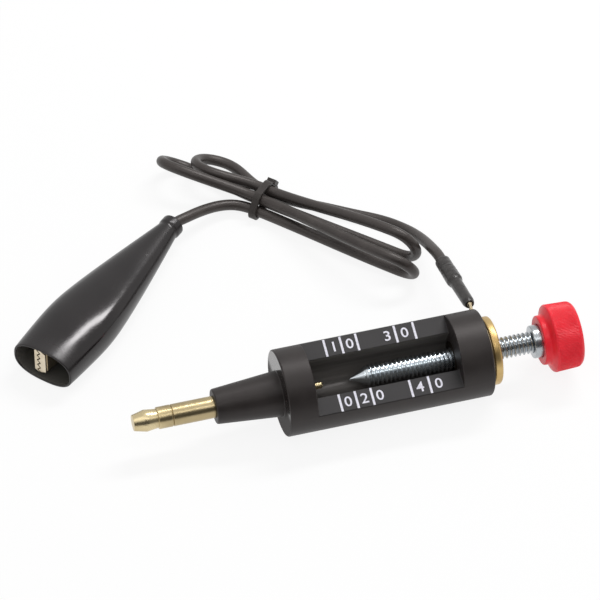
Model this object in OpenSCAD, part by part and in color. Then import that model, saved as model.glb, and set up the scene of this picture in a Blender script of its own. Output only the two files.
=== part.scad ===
// Spark plug tester: an adjustable spark gap in an insulating body, with an earth lead and clip.
// X runs along the tester towards the knob, Y away from the viewer, and the body rests on Z = 0.
// Lengths are millimetres, angles are degrees.

/* [Body] */
// Diameter of the insulating body
body_d = 25; // [23:0.5:28]
// Length of the round body
body_len = 59.9; // [57:0.1:66]
// Rounding of the body's outer edges
body_edge_r = 0.5; // [0.3:0.1:1.5]
// Length of the tapered snout
snout_len = 19; // [14:0.2:28]
// Snout diameter at the body
snout_root_d = 13.2; // [11:0.2:16]
// Snout diameter at its free end
snout_end_d = 10.1; // [8:0.1:11]

/* [Spark window] */
// Distance from the body's left face to the window
window_from = 8.2; // [6:0.1:9]
// Length of the window along the body
window_len = 42.4; // [38:0.2:43]
// Height of the scale flat above the axis
flat_h = 5.5; // [4.6:0.1:7]
// Lean of the window from straight up towards the front
window_lean = 22; // [0:1:40]
// Width of the spark chamber and its slot
chamber_w = 11.4; // [9:0.1:13]

/* [Terminal pin] */
// Diameter of the brass pin
pin_d = 6.3; // [5.6:0.1:7.4]
// Length of the pin outside the snout
pin_out = 23.4; // [20:0.2:30]
// Distance from the snout to the turned ring groove
pin_groove_at = 12.2; // [6:0.2:15]
// Width and depth of the ring groove
pin_groove = 0.35; // [0.2:0.05:0.6]
// Distance from the snout to the snap neck
pin_neck_at = 16.4; // [15.8:0.2:18]
// Diameter of the snap neck
pin_neck_d = 5.4; // [4.6:0.1:5.5]
// Length of the cone from the neck up to the nose
pin_neck_len = 3.4; // [1.5:0.1:3.6]
// Diameter of the tip face
pin_tip_d = 4.6; // [3:0.1:5.4]
// Diameter of the shank held in the body
pin_shank_d = 5; // [4:0.1:5.5]
// Wall between the shank and the spark chamber
pin_wall = 2.4; // [1.5:0.1:4]
// Diameter of the fixed electrode
electrode_d = 2; // [1.4:0.1:2.6]
// Reach of the fixed electrode into the chamber
electrode_out = 4.5; // [2:0.1:8]
// Depth of the electrode inside the pin
electrode_seat = 6; // [3:0.5:12]

/* [End bush] */
// Diameter of the flange
flange_d = 19.7; // [17:0.1:22]
// Thickness of the flange
flange_t = 2.5; // [1.5:0.1:4]
// Rounding of the flange's outer edge
flange_edge_r = 0.6; // [0.2:0.1:0.7]
// Diameter of the shank held in the body
bush_shank_d = 10; // [8.5:0.1:11]

/* [Adjusting screw] */
// Outer diameter of the thread
thread_d = 6.35; // [5:0.05:7]
// Thread pitch
thread_pitch = 1.27; // [1:0.01:1.5]
// Thread depth on the radius
thread_depth = 0.72; // [0.4:0.02:0.85]
// Length of the conical point
point_len = 4.2; // [3:0.1:6]
// Diameter of the blunted tip
point_tip_d = 0.4; // [0.2:0.1:0.8]
// Spark gap as photographed
spark_gap = 7.9; // [2:0.1:20]
// Thread showing between the bush and the head
screw_showing = 11.1; // [10:0.1:16]
// Diameter of the round head
head_d = 9.5; // [8.5:0.1:11]
// Length of the head
head_len = 6.35; // [5:0.05:8]
// Head length left outside the knob
head_out = 2.3; // [0.5:0.1:3.5]
// Hexagon socket across its flats
socket_af = 4.76; // [3:0.02:5.5]
// Depth of the hexagon socket
socket_depth = 3.2; // [2:0.1:4]

/* [Knob] */
// Outer diameter of the ribbed rim
knob_d = 19.6; // [18:0.1:24]
// Length of the ribbed rim
rim_len = 7.1; // [5.5:0.1:12]
// Number of grip ribs
rib_count = 72; // [36:1:96]
// Depth of the grooves between ribs
rib_depth = 0.3; // [0.1:0.05:0.5]
// Diameter of the hub
hub_d = 14.3; // [12.5:0.1:16]
// Length of the hub
hub_len = 1.8; // [1.5:0.1:5]
// Length of the shoulder cone between hub and rim
shoulder_len = 1.1; // [0.8:0.1:3]
// Rounding of the knob's outer end
knob_end_r = 1; // [0.5:0.1:2]

/* [Lead terminal] */
// Thickness of the ring terminal
lug_t = 0.7; // [0.5:0.1:1.2]
// Outer diameter of its ring
lug_ring_d = 19.2; // [13.5:0.1:19.5]
// Width of its tongue
tongue_w = 1.8; // [1.4:0.1:1.9]
// Reach of the tongue from the axis
tongue_reach = 15.5; // [14.6:0.1:17]
// Rise of the tongue above the horizontal
tongue_rise = 19; // [10:1:30]
// Outer diameter of the crimp barrel
barrel_d = 2.6; // [2.2:0.1:3]
// Length of the crimp barrel
barrel_len = 9; // [6:0.5:9.5]
// Overlap of the shrink sleeve on the bend of the tongue
sleeve_lap = 0.4; // [0.2:0.1:0.5]
// Length of the shrink sleeve from the tongue's end
sleeve_len = 23.3; // [22:0.1:24]
// Sleeve diameter over the crimp barrel
sleeve_d = 3.7; // [3.4:0.1:4.2]
// Sleeve diameter over the insulation grip
grip_d = 4.7; // [4.4:0.1:5.4]
// Sleeve diameter where it ends on the lead
band_d = 4.5; // [3.9:0.1:4.6]
// Length of the grip swelling
grip_len = 7; // [4:0.5:8]
// Length of the last band on the lead
band_len = 4.4; // [3:0.2:5]

/* [Lead] */
// Outer diameter of the lead
cord_d = 3.2; // [2.8:0.1:3.2]
// Diameter of the bare conductor
core_d = 1.4; // [1:0.1:1.5]
// Stripped end of the lead in the terminal
core_at_terminal = 10; // [9.6:0.1:10.5]
// Number of loops in the hank
hank_loops = 2; // [2:1:2]
// Radius of the folds at the hank's ends
fold_r = 6.5; // [6:0.1:7]
// Step between neighbouring strands at the waist
waist_step = 2.2; // [2.1:0.1:2.4]
// Rise of every second strand at the waist
waist_rise = 3; // [2.9:0.1:3.2]
// Half length of the straight waist
waist_half = 3.5; // [3:0.1:4]

/* [Cable tie] */
// Thickness of the tie band
tie_t = 0.8; // [0.6:0.1:1.2]
// Width of the tie band
tie_w = 2.2; // [2:0.1:3.6]
// Slack between the band and the strands
tie_slack = 0.3; // [0.2:0.05:0.4]
// Side of the square tie head
tie_head = 2.8; // [2.6:0.1:3.8]
// Height of the tie head
tie_head_h = 1; // [0.8:0.1:2]

/* [Clip boot] */
// Length of the boot
boot_len = 68; // [66:0.5:72]
// Wall of the boot
boot_wall = 1.1; // [0.8:0.1:1.3]
// Wall of the boot at its lip
boot_lip = 0.7; // [0.5:0.1:0.8]
// Width of the mouth
mouth_w = 19.6; // [19:0.1:21]
// Height of the mouth
mouth_h = 12.4; // [12:0.1:13.4]
// Greatest width of the boot
bulge_w = 21.4; // [21:0.1:23]
// Greatest height of the boot
bulge_h = 13.8; // [13.5:0.1:15]
// Distance from the mouth to the widest place
bulge_at = 20; // [16:0.5:24]
// Diameter of the neck
neck_d = 6.3; // [5.8:0.1:7]
// Diameter of the collar at the cord end
collar_d = 6.9; // [6.4:0.1:7.6]
// Length of the collar
collar_len = 3.2; // [2:0.1:4.5]
// Length of the tight bore round the lead
neck_bore_len = 8; // [5:0.5:10]

/* [Clip jaws] */
// Sheet thickness of the jaws
sheet = 0.8; // [0.6:0.05:0.9]
// Distance from the mouth to the jaw tips
tip_at = 1.2; // [1:0.1:3]
// Sideways place of the line where the jaws meet
bite_y = 2; // [1.2:0.1:2.1]
// Depth of the fixed jaw at its tip
fixed_tip_depth = 1.4; // [1.3:0.1:2]
// Depth of the moving jaw at its tip
moving_tip_depth = 2.3; // [2.2:0.1:3]
// Half height of the jaws at the bite
jaw_half_h = 4.5; // [3.9:0.1:4.6]
// Lean of the jaw sides, in height lost for each unit of depth
side_lean = 0.45; // [0.3:0.05:0.5]
// Length of the toothed stretch
bite_len = 13.8; // [10:0.2:14.4]
// Tooth pitch
tooth_pitch = 1.9; // [1.5:0.1:2.4]
// Tooth height
tooth_h = 0.9; // [0.5:0.1:1]
// Gap between the closed jaws
bite_gap = 0.5; // [0.15:0.05:0.5]
// Distance from the mouth to the pivot
pivot_at = 22; // [21:0.1:24]
// Diameter of the pivot rivet
rivet_d = 2.3; // [1.8:0.1:2.5]
// Diameter of the rivet's heads
rivet_head_d = 4; // [3.4:0.1:5]
// Height of the rivet's heads
rivet_head_h = 0.6; // [0.4:0.1:0.8]
// Radius of the pivot ears
ear_r = 2.4; // [2.1:0.1:2.7]
// Half height of the handle plates
handle_half_h = 2.2; // [1.8:0.1:2.4]
// Length of the handles behind the pivot
handle_len = 16; // [12:0.5:17]
// Outer diameter of the lead crimp
crimp_d = 3.1; // [2.8:0.1:3.4]
// Length of the lead crimp
crimp_len = 6; // [4:0.5:6.5]

/* [Jaw spring] */
// Wire diameter
wire_d = 0.8; // [0.6:0.05:0.85]
// Rise of one turn
wire_pitch = 1.35; // [1.3:0.05:1.4]
// Whole turns on the rivet
wire_turns = 2; // [1:1:2]
// Reach of the legs behind the pivot
leg_reach = 11; // [8:0.5:13]

/* [Clearances] */
// Radial gap of pressed and fixed pieces
press_gap = 0.02; // [0.01:0.01:0.05]
// Radial gap of turning and sliding pieces
run_gap = 0.05; // [0.03:0.01:0.1]
// Free gap between soft and loose pieces
loose_gap = 0.1; // [0.05:0.01:0.15]

/* [Hidden] */
$fn = 96;

// Places along the tester, from the body's left face.
axis_z = body_d / 2;
window_to = window_from + window_len;
pin_tip_x = -snout_len - pin_out;
pin_shank_x = window_from - pin_wall;
electrode_x = window_from + electrode_out;
bush_face_x = body_len + lug_t + flange_t;
screw_tip_x = electrode_x + spark_gap;
head_x = bush_face_x + screw_showing;
hub_x = head_x + head_out;
shoulder_x = hub_x + hub_len;
rim_x = shoulder_x + shoulder_len;
rim_end_x = rim_x + rim_len;
knob_end_x = rim_end_x + knob_end_r;
face_x = -(pin_tip_x + knob_end_x) / 2;

// Hank: place on the table, heading of its long axis, and for each loop its two end lobes.
// A lobe is its reach from the tie, its middle across the hank, and the lean of its plane.
hank_at = [-3.85, 85.5, 0];
hank_heading = -45;
left_lobes = [[24.6, 4, 30], [32.8, -2.4, 42]];
right_lobes = [[51.6, -0.5, 74], [54.8, -7.9, 61]];
strands = 2 * hank_loops + 1;
waist_z = cord_d / 2 + tie_slack + tie_t;
hank_tail = waist_half - 1.3;
run_steps = 6;
fold_steps = 10;

// Lead from the terminal to the hank, beyond the sleeve, chosen by hand.
tester_route = [[36.56, 41.47, 12], [36.35, 45.6, 10.3], [36.15, 49.9, 8.3], [35.65, 54.5, 6.2],
                [34.4, 59.9, 3.9], [32.6, 63.95, 2.5], [29.95, 67.45, 1.85], [26.5, 70.35, 1.68],
                [22.9, 72.7, 1.65], [19.25, 75.05, 1.65], [15.65, 77.4, 1.7], [12.2, 79.35, 1.95],
                [8.2, 81.3, 2.4]];
// Lead from the hank to the boot, chosen by hand.
clip_route = [[-9.74, 84.8, 2.75], [-11.89, 85.89, 2.95], [-14.83, 86.33, 3.35], [-18.33, 85.76, 4.1],
              [-22.02, 84.44, 5], [-25.57, 82.68, 5.95], [-28.47, 81.19, 6.55]];
cord_sides = 8;
route_steps = 2;

// Clip: place of the boot's mouth on the table and heading from the mouth to the neck.
clip_at = [-83.15, 33.5, bulge_h / 2];
clip_heading = 42.2;
boot_power = 2.5;
boot_taper = 1.25;
boot_sides = 32;
neck_at = boot_len - collar_len;
crimp_from = pivot_at + handle_len + 5;
cord_end_at = crimp_from + crimp_len + 1;
bite_from = tip_at + sheet;
bite_to = bite_from + bite_len;
pivot_y = bite_y + 0.2;
fixed_ear_z = jaw_half_h - sheet;
moving_ear_z = fixed_ear_z - loose_gap - sheet;
handle_end = pivot_at + handle_len;

// Outer faces of the two jaws and their handles, as places along and across the clip.
fixed_back = [[tip_at, bite_y + fixed_tip_depth], [bite_to, 5], [pivot_at, 6], [pivot_at + 11, 6.6],
              [crimp_from, crimp_d / 2 + sheet - press_gap], [crimp_from + crimp_len, crimp_d / 2 + sheet - press_gap]];
moving_back = [[tip_at, bite_y - moving_tip_depth], [bite_to, -2.8], [pivot_at, -4.2],
               [pivot_at + handle_len / 2, -6], [handle_end, -6]];

body_black = [0.10, 0.09, 0.09];
brass = [0.85, 0.68, 0.35];
zinc = [0.75, 0.77, 0.80];
knob_red = [0.85, 0.12, 0.15];
lead_black = [0.14, 0.13, 0.13];
plated = [0.86, 0.82, 0.72];
copper = [0.80, 0.48, 0.32];

// Vector and route helpers.
function unit(v) = v / norm(v);
// Spread of a strand from the waist: quick at first, level at the fold.
function spread(t) = 0.65 * (1 - cos(180 * t)) / 2 + 0.35 * sin(90 * t);
function turned_xy(v, a) = [v.x * cos(a) - v.y * sin(a), v.x * sin(a) + v.y * cos(a), v.z];
function spline(a, b, c, d, t) =
    (2 * b + t * (c - a) + t * t * (2 * a - 5 * b + 4 * c - d) + t * t * t * (3 * b - a - 3 * c + d)) / 2;
function curve(p, n) = [
    for (i = [0:len(p) - 2], k = [0:n - 1])
        spline(p[max(i - 1, 0)], p[i], p[i + 1], p[min(i + 2, len(p) - 1)], k / n),
    p[len(p) - 1]
];
function headings(p) = [
    for (i = [0:len(p) - 1]) unit(p[min(i + 1, len(p) - 1)] - p[max(i - 1, 0)])
];
function square_to(n, t) = unit(n - (n * t) * t);
// Side vectors carried along a route without twist.
function sides(t) = [
    for (i = 0, n = square_to([0.1, 0.2, 1], t[0]); i < len(t);
         n = i + 1 < len(t) ? square_to(n, t[i + 1]) : n, i = i + 1) n
];
// Least clear distance of a route to itself, between points further apart along it than reach.
function least_gap(p, d, reach) = min([
    for (i = [0:len(p) - 1], k = [i + reach:1:len(p) - 1]) norm(p[i] - p[k])
]) - d;

// The hank's own frame: along, across and up, from the tie.
function from_hank(v) = hank_at + turned_xy(v, hank_heading);
function slot(j) = [(strands - 1 - 2 * j) / 2 * waist_step, waist_z + (j % 2) * waist_rise];
// One lobe from slot j to slot j + 1: out along a run, round the fold, and back. The far strand lies low.
function lobe(j, side, reach, mid, lean) =
    let (half = fold_r * [cos(lean), -sin(lean)],
         centre = [mid, cord_d / 2 + fold_r * sin(lean)],
         out_far = side < 0 ? 1 : -1,
         first = centre + out_far * half,
         last = centre - out_far * half,
         run = reach - fold_r)
    concat(
        [for (k = [0:run_steps - 1])
            let (t = k / run_steps, c = slot(j) + (first - slot(j)) * spread(t))
            [side * (waist_half + (run - waist_half) * t), c.x, c.y]],
        [for (k = [0:fold_steps])
            let (a = 180 * k / fold_steps, c = centre + out_far * half * cos(a))
            [side * (run + fold_r * sin(a)), c.x, c.y]],
        [for (k = [run_steps - 1:-1:0])
            let (t = k / run_steps, c = slot(j + 1) + (last - slot(j + 1)) * spread(t))
            [side * (waist_half + (run - waist_half) * t), c.x, c.y]]);
function hank_line() = concat(
    [[hank_tail, slot(0).x, slot(0).y], [0, slot(0).x, slot(0).y]],
    [for (i = [0:hank_loops - 1], side = [-1, 1])
        let (l = side < 0 ? left_lobes[i] : right_lobes[i], j = 2 * i + (side + 1) / 2)
        each concat(lobe(j, side, l[0], l[1], l[2]), [[0, slot(j + 1).x, slot(j + 1).y]])],
    [[-hank_tail, slot(strands - 1).x, slot(strands - 1).y]]);
hank_points = [for (p = hank_line()) from_hank(p)];
hank_start = from_hank([hank_tail, slot(0).x, slot(0).y]);
hank_end = from_hank([-hank_tail, slot(strands - 1).x, slot(strands - 1).y]);
straight_end = 1.4 * cord_d;

// The clip's own frame: along from the mouth, across, and up from the boot's axis.
function from_clip(v) = clip_at + turned_xy(v, clip_heading);

// Sleeve axis from the end of the tongue to the first free point of the lead.
tongue_end = [face_x + body_len + lug_t / 2, tongue_reach * cos(tongue_rise),
              axis_z + tongue_reach * sin(tongue_rise)];
sleeve_dir = unit(tester_route[0] - tongue_end);

sleeve_points = [
    for (k = [0:3]) tongue_end + (core_at_terminal + (sleeve_len - core_at_terminal) * k / 3) * sleeve_dir
];
tester_points = curve(concat(sleeve_points, tester_route,
    [from_hank([hank_tail + straight_end, slot(0).x, slot(0).y]), hank_start]), route_steps);
bore_points = [
    for (k = [0:4]) from_clip([boot_len + 0.4 + (cord_end_at - boot_len - 0.4) * k / 4, 0, 0])
];
clip_points = concat([hank_end], curve(concat(
    [from_hank([-hank_tail - 0.5, slot(strands - 1).x, slot(strands - 1).y])], clip_route, bore_points), route_steps));

// Torsion spring: two legs and a coil between them, in the clip's frame.
coil_r = rivet_d / 2 + 0.3 + wire_d / 2;
fixed_leg = [leg_reach, 5.8 - wire_d / 2 - loose_gap - pivot_y];
moving_leg = [leg_reach, -5.2 + wire_d / 2 + loose_gap - pivot_y];
coil_from = atan2(fixed_leg.y, fixed_leg.x) + acos(coil_r / norm(fixed_leg));
coil_to = atan2(moving_leg.y, moving_leg.x) - acos(coil_r / norm(moving_leg)) + 360 * (wire_turns + 1);
coil_sweep = coil_to - coil_from;
coil_rise = wire_pitch * coil_sweep / 360;
coil_steps = ceil(coil_sweep / 45);
spring_points = concat(
    [[fixed_leg.x, fixed_leg.y, coil_rise / 2]],
    [for (k = [0:coil_steps])
        let (a = coil_from + coil_sweep * k / coil_steps)
        [coil_r * cos(a), coil_r * sin(a), coil_rise * (0.5 - k / coil_steps)]],
    [[moving_leg.x, moving_leg.y, -coil_rise / 2]]);

echo(hank_least_gap = least_gap(hank_points, cord_d, run_steps + 2));
echo(spring_least_gap = least_gap(spring_points, wire_d, 5));

// Shapes shared by several pieces.
module on_axis(x) {
    translate([face_x + x, 0, axis_z]) rotate([0, 90, 0]) children();
}

module turned(points) {
    on_axis(0) rotate_extrude() polygon(points);
}

module toward(p, d) {
    translate(p) rotate([0, acos(d.z), atan2(d.y, d.x)]) children();
}

module tube(points, d, n) {
    t = headings(points);
    s = sides(t);
    rings = len(points);
    ring_points = [
        for (i = [0:rings - 1], k = [0:n - 1])
            points[i] + d / 2 * (cos(360 * k / n) * s[i] + sin(360 * k / n) * cross(t[i], s[i]))
    ];
    walls = [
        for (i = [0:rings - 2], k = [0:n - 1], half = [0, 1])
            let (a = i * n + k, b = i * n + (k + 1) % n)
            half == 0 ? [a, a + n, b] : [b, a + n, b + n]
    ];
    caps = [
        for (k = [1:n - 2], end = [0, 1])
            let (a = (rings - 1) * n)
            end == 0 ? [0, k, k + 1] : [a, a + k + 1, a + k]
    ];
    polyhedron(ring_points, concat(walls, caps));
}

module in_clip() {
    translate(clip_at) rotate(clip_heading) children();
}

module in_hank() {
    translate(hank_at) rotate(hank_heading) children();
}

// Extrudes a shape drawn as across and up, along the piece's own length.
module lengthways(len) {
    rotate([90, 0, 90]) linear_extrude(len) children();
}

// Insulating body with snout, scale flat and spark chamber.
module housing() {
    e = body_edge_r;
    color(body_black) difference() {
        turned(concat(
            [[0, -snout_len], [snout_end_d / 2 - e, -snout_len]],
            [for (a = [0:30:90]) [snout_end_d / 2 - e + e * sin(a), -snout_len + e - e * cos(a)]],
            [[snout_root_d / 2, 0], [body_d / 2 - e, 0]],
            [for (a = [0:30:90]) [body_d / 2 - e + e * sin(a), e - e * cos(a)]],
            [for (a = [90:-30:0]) [body_d / 2 - e + e * sin(a), body_len - e + e * cos(a)]],
            [[0, body_len]]));
        on_axis(0) rotate([0, 0, window_lean]) window_cut();
        on_axis(-snout_len - 1) cylinder(d = pin_shank_d + 2 * press_gap, h = snout_len + 1 + pin_shank_x);
        on_axis(0) cylinder(d = electrode_d + 2 * press_gap, h = window_from + 1);
        on_axis(window_to - 1) cylinder(d = bush_shank_d + 2 * press_gap, h = body_len - window_to + 2);
    }
}

// Space above the scale flat, with the slot and the round bottom of the chamber.
module window_cut() {
    translate([0, 0, window_from]) {
        translate([-body_d, -body_d, 0]) cube([body_d - flat_h, 2 * body_d, window_len]);
        translate([-body_d, -chamber_w / 2, 0]) cube([body_d, chamber_w, window_len]);
        cylinder(d = chamber_w, h = window_len);
    }
}

// Turned brass plug terminal with its snap neck.
module terminal_pin() {
    r = pin_d / 2;
    groove_x = -snout_len - pin_groove_at;
    neck_x = -snout_len - pin_neck_at;
    color(brass) difference() {
        turned([
            [0, pin_tip_x], [pin_tip_d / 2, pin_tip_x], [r, neck_x - pin_neck_len],
            [pin_neck_d / 2, neck_x], [r - pin_groove / 2, neck_x], [r, neck_x + pin_groove / 2],
            [r, groove_x - pin_groove / 2], [r - pin_groove, groove_x], [r, groove_x + pin_groove / 2],
            [r, -snout_len], [pin_shank_d / 2, -snout_len], [pin_shank_d / 2, pin_shank_x], [0, pin_shank_x]
        ]);
        on_axis(pin_shank_x - electrode_seat) cylinder(d = electrode_d + 2 * press_gap, h = electrode_seat + 1);
    }
}

module fixed_electrode() {
    r = electrode_d / 2;
    color(brass) turned([
        [0, pin_shank_x - electrode_seat], [r, pin_shank_x - electrode_seat],
        [r, electrode_x - r / 2], [r / 2, electrode_x], [0, electrode_x]
    ]);
}

// Flanged brass bush that carries the screw and clamps the ring terminal.
module end_bush() {
    bore = thread_d / 2 + run_gap;
    seat_x = body_len + lug_t;
    e = flange_edge_r;
    color(brass) turned(concat(
        [[bore, window_to], [bush_shank_d / 2, window_to], [bush_shank_d / 2, seat_x]],
        [for (a = [0:30:90]) [flange_d / 2 - e + e * sin(a), seat_x + e - e * cos(a)]],
        [for (a = [90:-30:0]) [flange_d / 2 - e + e * sin(a), bush_face_x - e + e * cos(a)]],
        [[bore, bush_face_x]]));
}

// Pointed adjusting screw. Its thread is drawn as ring grooves of the true pitch.
module adjusting_screw() {
    major = thread_d / 2;
    minor = major - thread_depth;
    from_x = screw_tip_x + point_len;
    turns = floor((head_x - from_x) / thread_pitch);
    crest = thread_pitch / 12;
    color(zinc) difference() {
        turned(concat(
            [[0, screw_tip_x], [point_tip_d / 2, screw_tip_x]],
            [for (i = [0:turns - 1])
                let (x = from_x + i * thread_pitch, m = x + thread_pitch / 2)
                each [[minor, x], [major, m - crest], [major, m + crest]]],
            [[minor, from_x + turns * thread_pitch], [minor, head_x], [head_d / 2, head_x],
             [head_d / 2, head_x + head_len], [0, head_x + head_len]]));
        on_axis(head_x + head_len - socket_depth)
            cylinder(d = socket_af / cos(30), h = socket_depth + 1, $fn = 6);
    }
}

// Red knob pressed over the screw's head.
module knob() {
    r = knob_d / 2;
    groove = r - rib_depth;
    e = knob_end_r;
    color(knob_red) difference() {
        union() {
            turned(concat(
                [[0, hub_x], [hub_d / 2, hub_x], [hub_d / 2, shoulder_x], [groove, rim_x], [groove, rim_end_x]],
                [for (a = [0:15:90]) [groove - e + e * cos(a), rim_end_x + e * sin(a)]],
                [[0, knob_end_x]]));
            on_axis(rim_x) linear_extrude(rim_len) polygon([
                for (i = [0:rib_count - 1], k = [0:3])
                    let (a = 360 * (i + [0, 0.3, 0.5, 0.8][k]) / rib_count, q = k < 2 ? groove : r)
                    [q * cos(a), q * sin(a)]
            ]);
        }
        on_axis(hub_x - 1) cylinder(d = head_d + 2 * run_gap, h = head_len - head_out + run_gap + 1);
    }
}

// Brass ring terminal clamped under the bush's flange, with its tongue and crimp barrel.
module ring_terminal() {
    color(brass) {
        on_axis(body_len) linear_extrude(lug_t) difference() {
            union() {
                circle(d = lug_ring_d);
                rotate(tongue_rise) translate([-tongue_w / 2, 0]) square([tongue_w, tongue_reach]);
            }
            circle(d = bush_shank_d + 2 * loose_gap);
        }
        translate(tongue_end) sphere(d = tongue_w);
        toward(tongue_end, sleeve_dir) difference() {
            cylinder(d = barrel_d, h = barrel_len);
            translate([0, 0, barrel_d]) cylinder(d = core_d + 2 * press_gap, h = barrel_len);
        }
    }
}

// Shrink sleeve over the crimp, with the swelling of the insulation grip and a last band on the lead.
module terminal_sleeve() {
    band_from = sleeve_len - band_len;
    grip_from = band_from - grip_len;
    step = 0.5;
    cord_from = core_at_terminal - loose_gap;
    color(lead_black) toward(tongue_end, sleeve_dir) rotate_extrude() polygon([
        [barrel_d / 2 + loose_gap, -sleeve_lap],
        [barrel_d / 2 + 2 * loose_gap, -sleeve_lap],
        [sleeve_d / 2, 2 * step - sleeve_lap],
        [sleeve_d / 2, grip_from], [grip_d / 2, grip_from + step], [grip_d / 2, band_from - step],
        [band_d / 2, band_from], [band_d / 2, sleeve_len],
        [cord_d / 2 + loose_gap, sleeve_len], [cord_d / 2 + loose_gap, cord_from],
        [barrel_d / 2 + loose_gap, cord_from]
    ]);
}

// Bare conductor in the terminal's crimp barrel.
module terminal_core() {
    color(copper) toward(tongue_end + (barrel_d + press_gap) * sleeve_dir, sleeve_dir)
        cylinder(d = core_d, h = core_at_terminal - barrel_d - press_gap);
}

module lead_tester_end() {
    color(lead_black) tube(tester_points, cord_d, cord_sides);
}

module lead_hank() {
    color(lead_black) tube(hank_points, cord_d, cord_sides);
}

module lead_clip_end() {
    color(lead_black) tube(clip_points, cord_d, cord_sides);
}

// Outline round the strands at the waist, grown by a margin.
module waist_outline(margin) {
    hull() for (j = [0:strands - 1])
        translate(slot(j)) circle(d = cord_d + 2 * margin, $fn = 32);
}

// Cable tie round the waist, with its square head on the rear slope.
module cable_tie() {
    rise = slot(1) - slot(0);
    color(lead_black) in_hank() difference() {
        union() {
            translate([-tie_w / 2, 0, 0]) lengthways(tie_w) waist_outline(tie_slack + tie_t);
            translate([-tie_head / 2, 0, 0]) lengthways(tie_head)
                translate((slot(0) + slot(1)) / 2) rotate(atan2(-rise.x, rise.y))
                    translate([cord_d / 2 + tie_slack + tie_t / 2, -tie_head / 2])
                        square([tie_t / 2 + tie_head_h, tie_head]);
        }
        translate([-tie_head, 0, 0]) lengthways(2 * tie_head) waist_outline(tie_slack);
    }
}

// Half size of the boot at a place along it, for its width or its height.
function boot_half(u, mouth, bulge) =
    u < bulge_at
        ? (mouth + (bulge - mouth) * sin(90 * u / bulge_at)) / 2
        : (bulge - (bulge - neck_d) * pow(min((u - bulge_at) / (neck_at - bulge_at), 1), boot_taper)) / 2;
function boot_outer(u) = [u, boot_half(u, mouth_w, bulge_w), boot_half(u, mouth_h, bulge_h)];
function wall_at(u) = boot_lip + (boot_wall - boot_lip) * min(u / bulge_at, 1);
function boot_inner(u) = boot_outer(u) - [0, wall_at(u), wall_at(u)];
function oval(u, w, h) = [
    for (k = [0:boot_sides - 1])
        let (a = 360 * k / boot_sides, c = cos(a), s = sin(a))
        [u, w * sign(c) * pow(abs(c), 2 / boot_power), h * sign(s) * pow(abs(s), 2 / boot_power)]
];

// Soft oval boot: outer skin to the collar, then back along the inner skin.
module clip_boot() {
    bore = cord_d / 2 + loose_gap;
    bore_from = boot_len - neck_bore_len;
    cavity_to = bore_from - 3;
    stations = concat(
        [for (t = [0:0.125:1]) boot_outer(bulge_at * t)],
        [for (t = [0.125:0.125:1]) boot_outer(bulge_at + (neck_at - bulge_at) * t)],
        [[neck_at + 0.6, collar_d / 2, collar_d / 2], [boot_len - 0.5, collar_d / 2, collar_d / 2],
         [boot_len, collar_d / 2 - 0.5, collar_d / 2 - 0.5],
         [boot_len, bore, bore], [bore_from, bore, bore]],
        [for (t = [1:-0.125:0]) boot_inner(cavity_to * t)]);
    n = boot_sides;
    m = len(stations);
    skin = [
        for (i = [0:m - 1], k = [0:n - 1], half = [0, 1])
            let (a = i * n + k, b = i * n + (k + 1) % n, c = (i + 1) % m * n + k, d = (i + 1) % m * n + (k + 1) % n)
            half == 0 ? [a, b, c] : [b, d, c]
    ];
    color(body_black) in_clip()
        polyhedron([for (s = stations) each oval(s[0], s[1], s[2])], skin);
}

// Toothed edge between two places, as points along the bite and across it.
function teeth(from, to, level) =
    let (n = floor((to - from) / tooth_pitch * 2))
    concat([for (k = [0:n]) [from + k * tooth_pitch / 2, level + (k % 2 - 0.5) * tooth_h]],
           [[to, level]]);
function reversed(p) = [for (i = [len(p) - 1:-1:0]) p[i]];
// Depth of a back line at one place along the clip.
function back_at(p, u) = lookup(u, p);
function shifted(p, dy) = [for (q = p) [q.x, q.y + dy]];

// Section of a jaw, across and up, that is widest at the bite.
module jaw_section(side, inset) {
    deep = 8;
    top = jaw_half_h - inset;
    low = top - side_lean * deep;
    polygon([[bite_y - side * deep, -low], [bite_y - side * deep, low], [bite_y, top], [bite_y + side, top],
             [bite_y + side, -top], [bite_y, -top]]);
}

// Toothed front of a jaw: two leaning sides, a back and a front wall. side is 1 for the moving jaw below
// the bite line and -1 for the fixed jaw above it.
module jaw_front(back, side) {
    edge = bite_y - side * bite_gap / 2;
    outline = [for (p = back) if (p.x < bite_to) p];
    tip_depth = back[0].y;
    intersection() {
        union() {
            difference() {
                linear_extrude(2 * jaw_half_h, center = true) polygon(concat(
                    [[bite_from, back_at(back, bite_from)], [bite_to, back_at(back, bite_to)]],
                    reversed(teeth(bite_from, bite_to, edge))));
                translate([bite_from - 1, 0, 0]) lengthways(bite_len + 2) jaw_section(side, sheet);
            }
            linear_extrude(2 * (jaw_half_h - sheet), center = true) jaw_strip(back, side, bite_from, bite_to);
            translate([tip_at, 0, 0]) lengthways(sheet) polygon(concat(
                [[tip_depth, -jaw_half_h], [tip_depth, jaw_half_h]],
                [for (p = reversed(teeth(-jaw_half_h, jaw_half_h, edge))) [p.y, p.x]]));
        }
        translate([tip_at - 1, 0, 0]) lengthways(bite_to + 2) jaw_section(side, 0);
    }
}

// Strip of sheet along a back line between two places.
module jaw_strip(back, side, from, to) {
    line = concat([[from, back_at(back, from)]], [for (p = back) if (p.x > from && p.x < to) p],
                  [[to, back_at(back, to)]]);
    polygon(concat(line, reversed(shifted(line, side * sheet))));
}

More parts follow.
